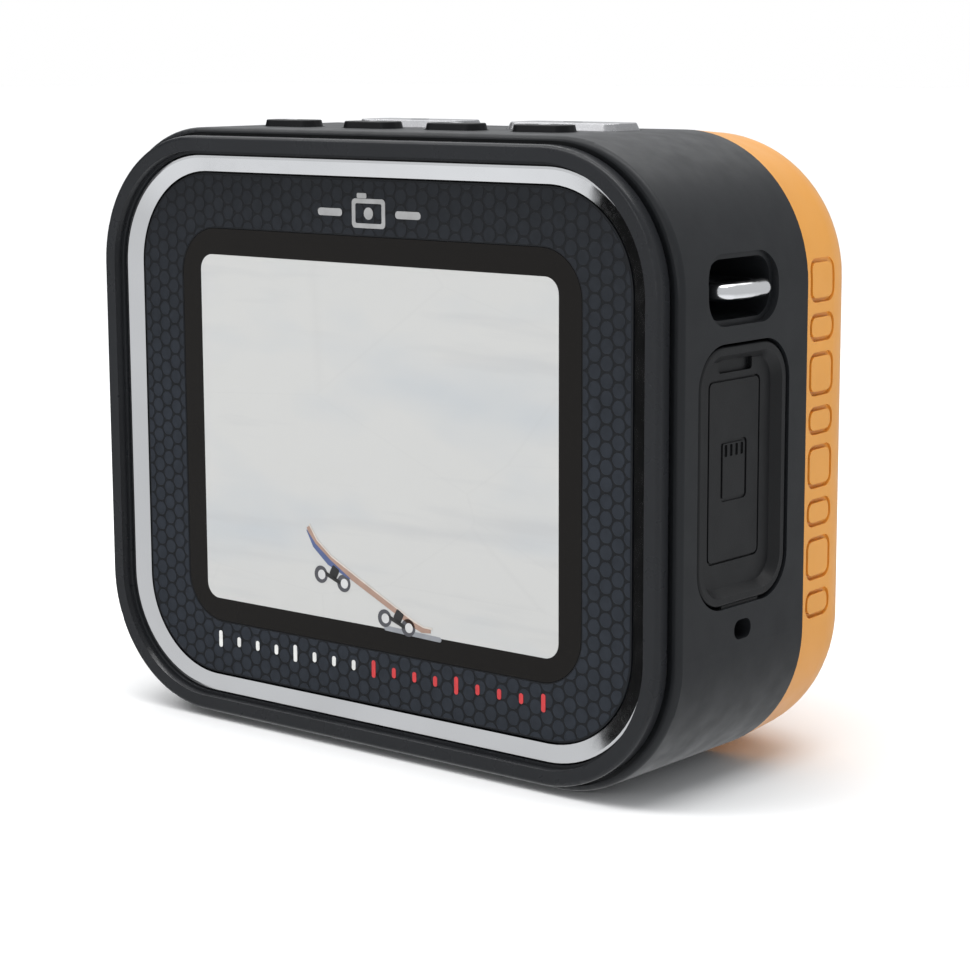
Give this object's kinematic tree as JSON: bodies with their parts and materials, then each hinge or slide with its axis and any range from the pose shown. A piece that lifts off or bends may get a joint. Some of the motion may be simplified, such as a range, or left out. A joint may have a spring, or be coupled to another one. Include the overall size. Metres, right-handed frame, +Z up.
{
  "type": "action camera",
  "caption": "Small rounded-box action camera: framed screen on one side, lens under an orange cover on the other, sprung top buttons, hinged side doors and a strap loop.",
  "frame": {"origin": "centre of the footprint, on the flat underside that the camera stands on", "axes": "+Z up, -Y out of the screen, +Y out of the lens, +X towards the side with the memory card door and the strap loop"},
  "size_m": [0.0604, 0.034, 0.0502],
  "materials": {
    "housing": "satin dark grey moulded plastic",
    "frame": "satin dark grey moulded plastic",
    "trim": "bright plated",
    "decor": "dark panel with a fine honeycomb print",
    "screen": "clear window over the lit display, with a black border",
    "display": "display glass and metal frame",
    "sheet_metal": "pressed steel",
    "gasket": "black foam",
    "ribbon": "amber polyimide",
    "cover": "satin orange moulded plastic",
    "strap_wire": "polished steel wire",
    "hinge_strip": "black flexible elastomer",
    "door": "fine textured black plastic",
    "key": "black plastic",
    "pad": "silver painted plastic",
    "board": "green circuit board",
    "switch": "switch cans",
    "bezel": "black plastic",
    "lens_trim": "bright plated",
    "lens_glass": "coated glass",
    "optics": "matt black",
    "chip": "black epoxy",
    "battery": "foil pouch",
    "socket": "stamped shell",
    "card": "black plastic",
    "speaker": "black speaker box",
    "light_pipe": "clear acrylic",
    "screws": "zinc plated"
  },
  "bodies": {
    "camera": {"screen_frame": "frame", "chrome_trim_ring": "trim", "decor_panel": "decor", "screen_lens": "screen", "display_gasket": "gasket", "lcd_module": "display", "display_bracket": "sheet_metal", "display_ribbon": "ribbon", "main_housing": "housing", "lens_cover": "cover", "strap_pin": "strap_wire", "card_door_hinge_strip": "hinge_strip", "usb_door_hinge_strip": "hinge_strip", "button_board": "board", "tact_switches": "switch", "lens_bezel": "bezel", "lens_trim_ring": "lens_trim", "lens_window": "lens_glass", "lens_barrel": "optics", "front_lens_element": "lens_glass", "rear_lens_element": "lens_glass", "lens_holder": "optics", "sensor_board": "board", "image_sensor": "chip", "board_connector": "chip", "main_board": "board", "processor": "chip", "battery": "battery", "card_socket": "socket", "usb_connector": "socket", "speaker": "speaker", "microphone": "socket", "status_light_pipe": "light_pipe", "reset_switch": "switch", "housing_screws": "screws"},
    "card_door": {"card_door": "door"},
    "memory_card": {"memory_card": "card"},
    "power_button": {"power_button": "pad"},
    "shutter_button": {"shutter_button": "pad"},
    "top_key_1": {"top_key_1": "key"},
    "top_key_2": {"top_key_2": "key"},
    "top_key_3": {"top_key_3": "key"},
    "top_key_4": {"top_key_4": "key"},
    "usb_door": {"usb_door": "door"}
  },
  "joints": [
    {"name": "top_key_1_press", "type": "slide", "parent": "camera", "child": "top_key_1", "axis": [0, 0, -1], "range_m": [0, 0.0004], "stiffness_N_per_m": 900},
    {"name": "top_key_2_press", "type": "slide", "parent": "camera", "child": "top_key_2", "axis": [0, 0, -1], "range_m": [0, 0.0004], "stiffness_N_per_m": 900},
    {"name": "top_key_3_press", "type": "slide", "parent": "camera", "child": "top_key_3", "axis": [0, 0, -1], "range_m": [0, 0.0004], "stiffness_N_per_m": 900},
    {"name": "top_key_4_press", "type": "slide", "parent": "camera", "child": "top_key_4", "axis": [0, 0, -1], "range_m": [0, 0.0004], "stiffness_N_per_m": 900},
    {"name": "shutter_button_press", "type": "slide", "parent": "camera", "child": "shutter_button", "axis": [0, 0, -1], "range_m": [0, 0.0005], "stiffness_N_per_m": 1200},
    {"name": "power_button_press", "type": "slide", "parent": "camera", "child": "power_button", "axis": [0, 0, -1], "range_m": [0, 0.0005], "stiffness_N_per_m": 1200},
    {"name": "card_door_hinge", "type": "hinge", "parent": "camera", "child": "card_door", "pos_m": [0.02992, -0.00743, 0.01487], "axis": [0, 1, 0], "range_deg": [0, 95]},
    {"name": "usb_door_hinge", "type": "hinge", "parent": "camera", "child": "usb_door", "pos_m": [-0.02992, -0.008, 0.0121], "axis": [0, -1, 0], "range_deg": [0, 95]},
    {"name": "memory_card_slide", "type": "slide", "parent": "camera", "child": "memory_card", "axis": [1, 0, 0], "range_m": [-0.0006, 0.0024]}
  ]
}
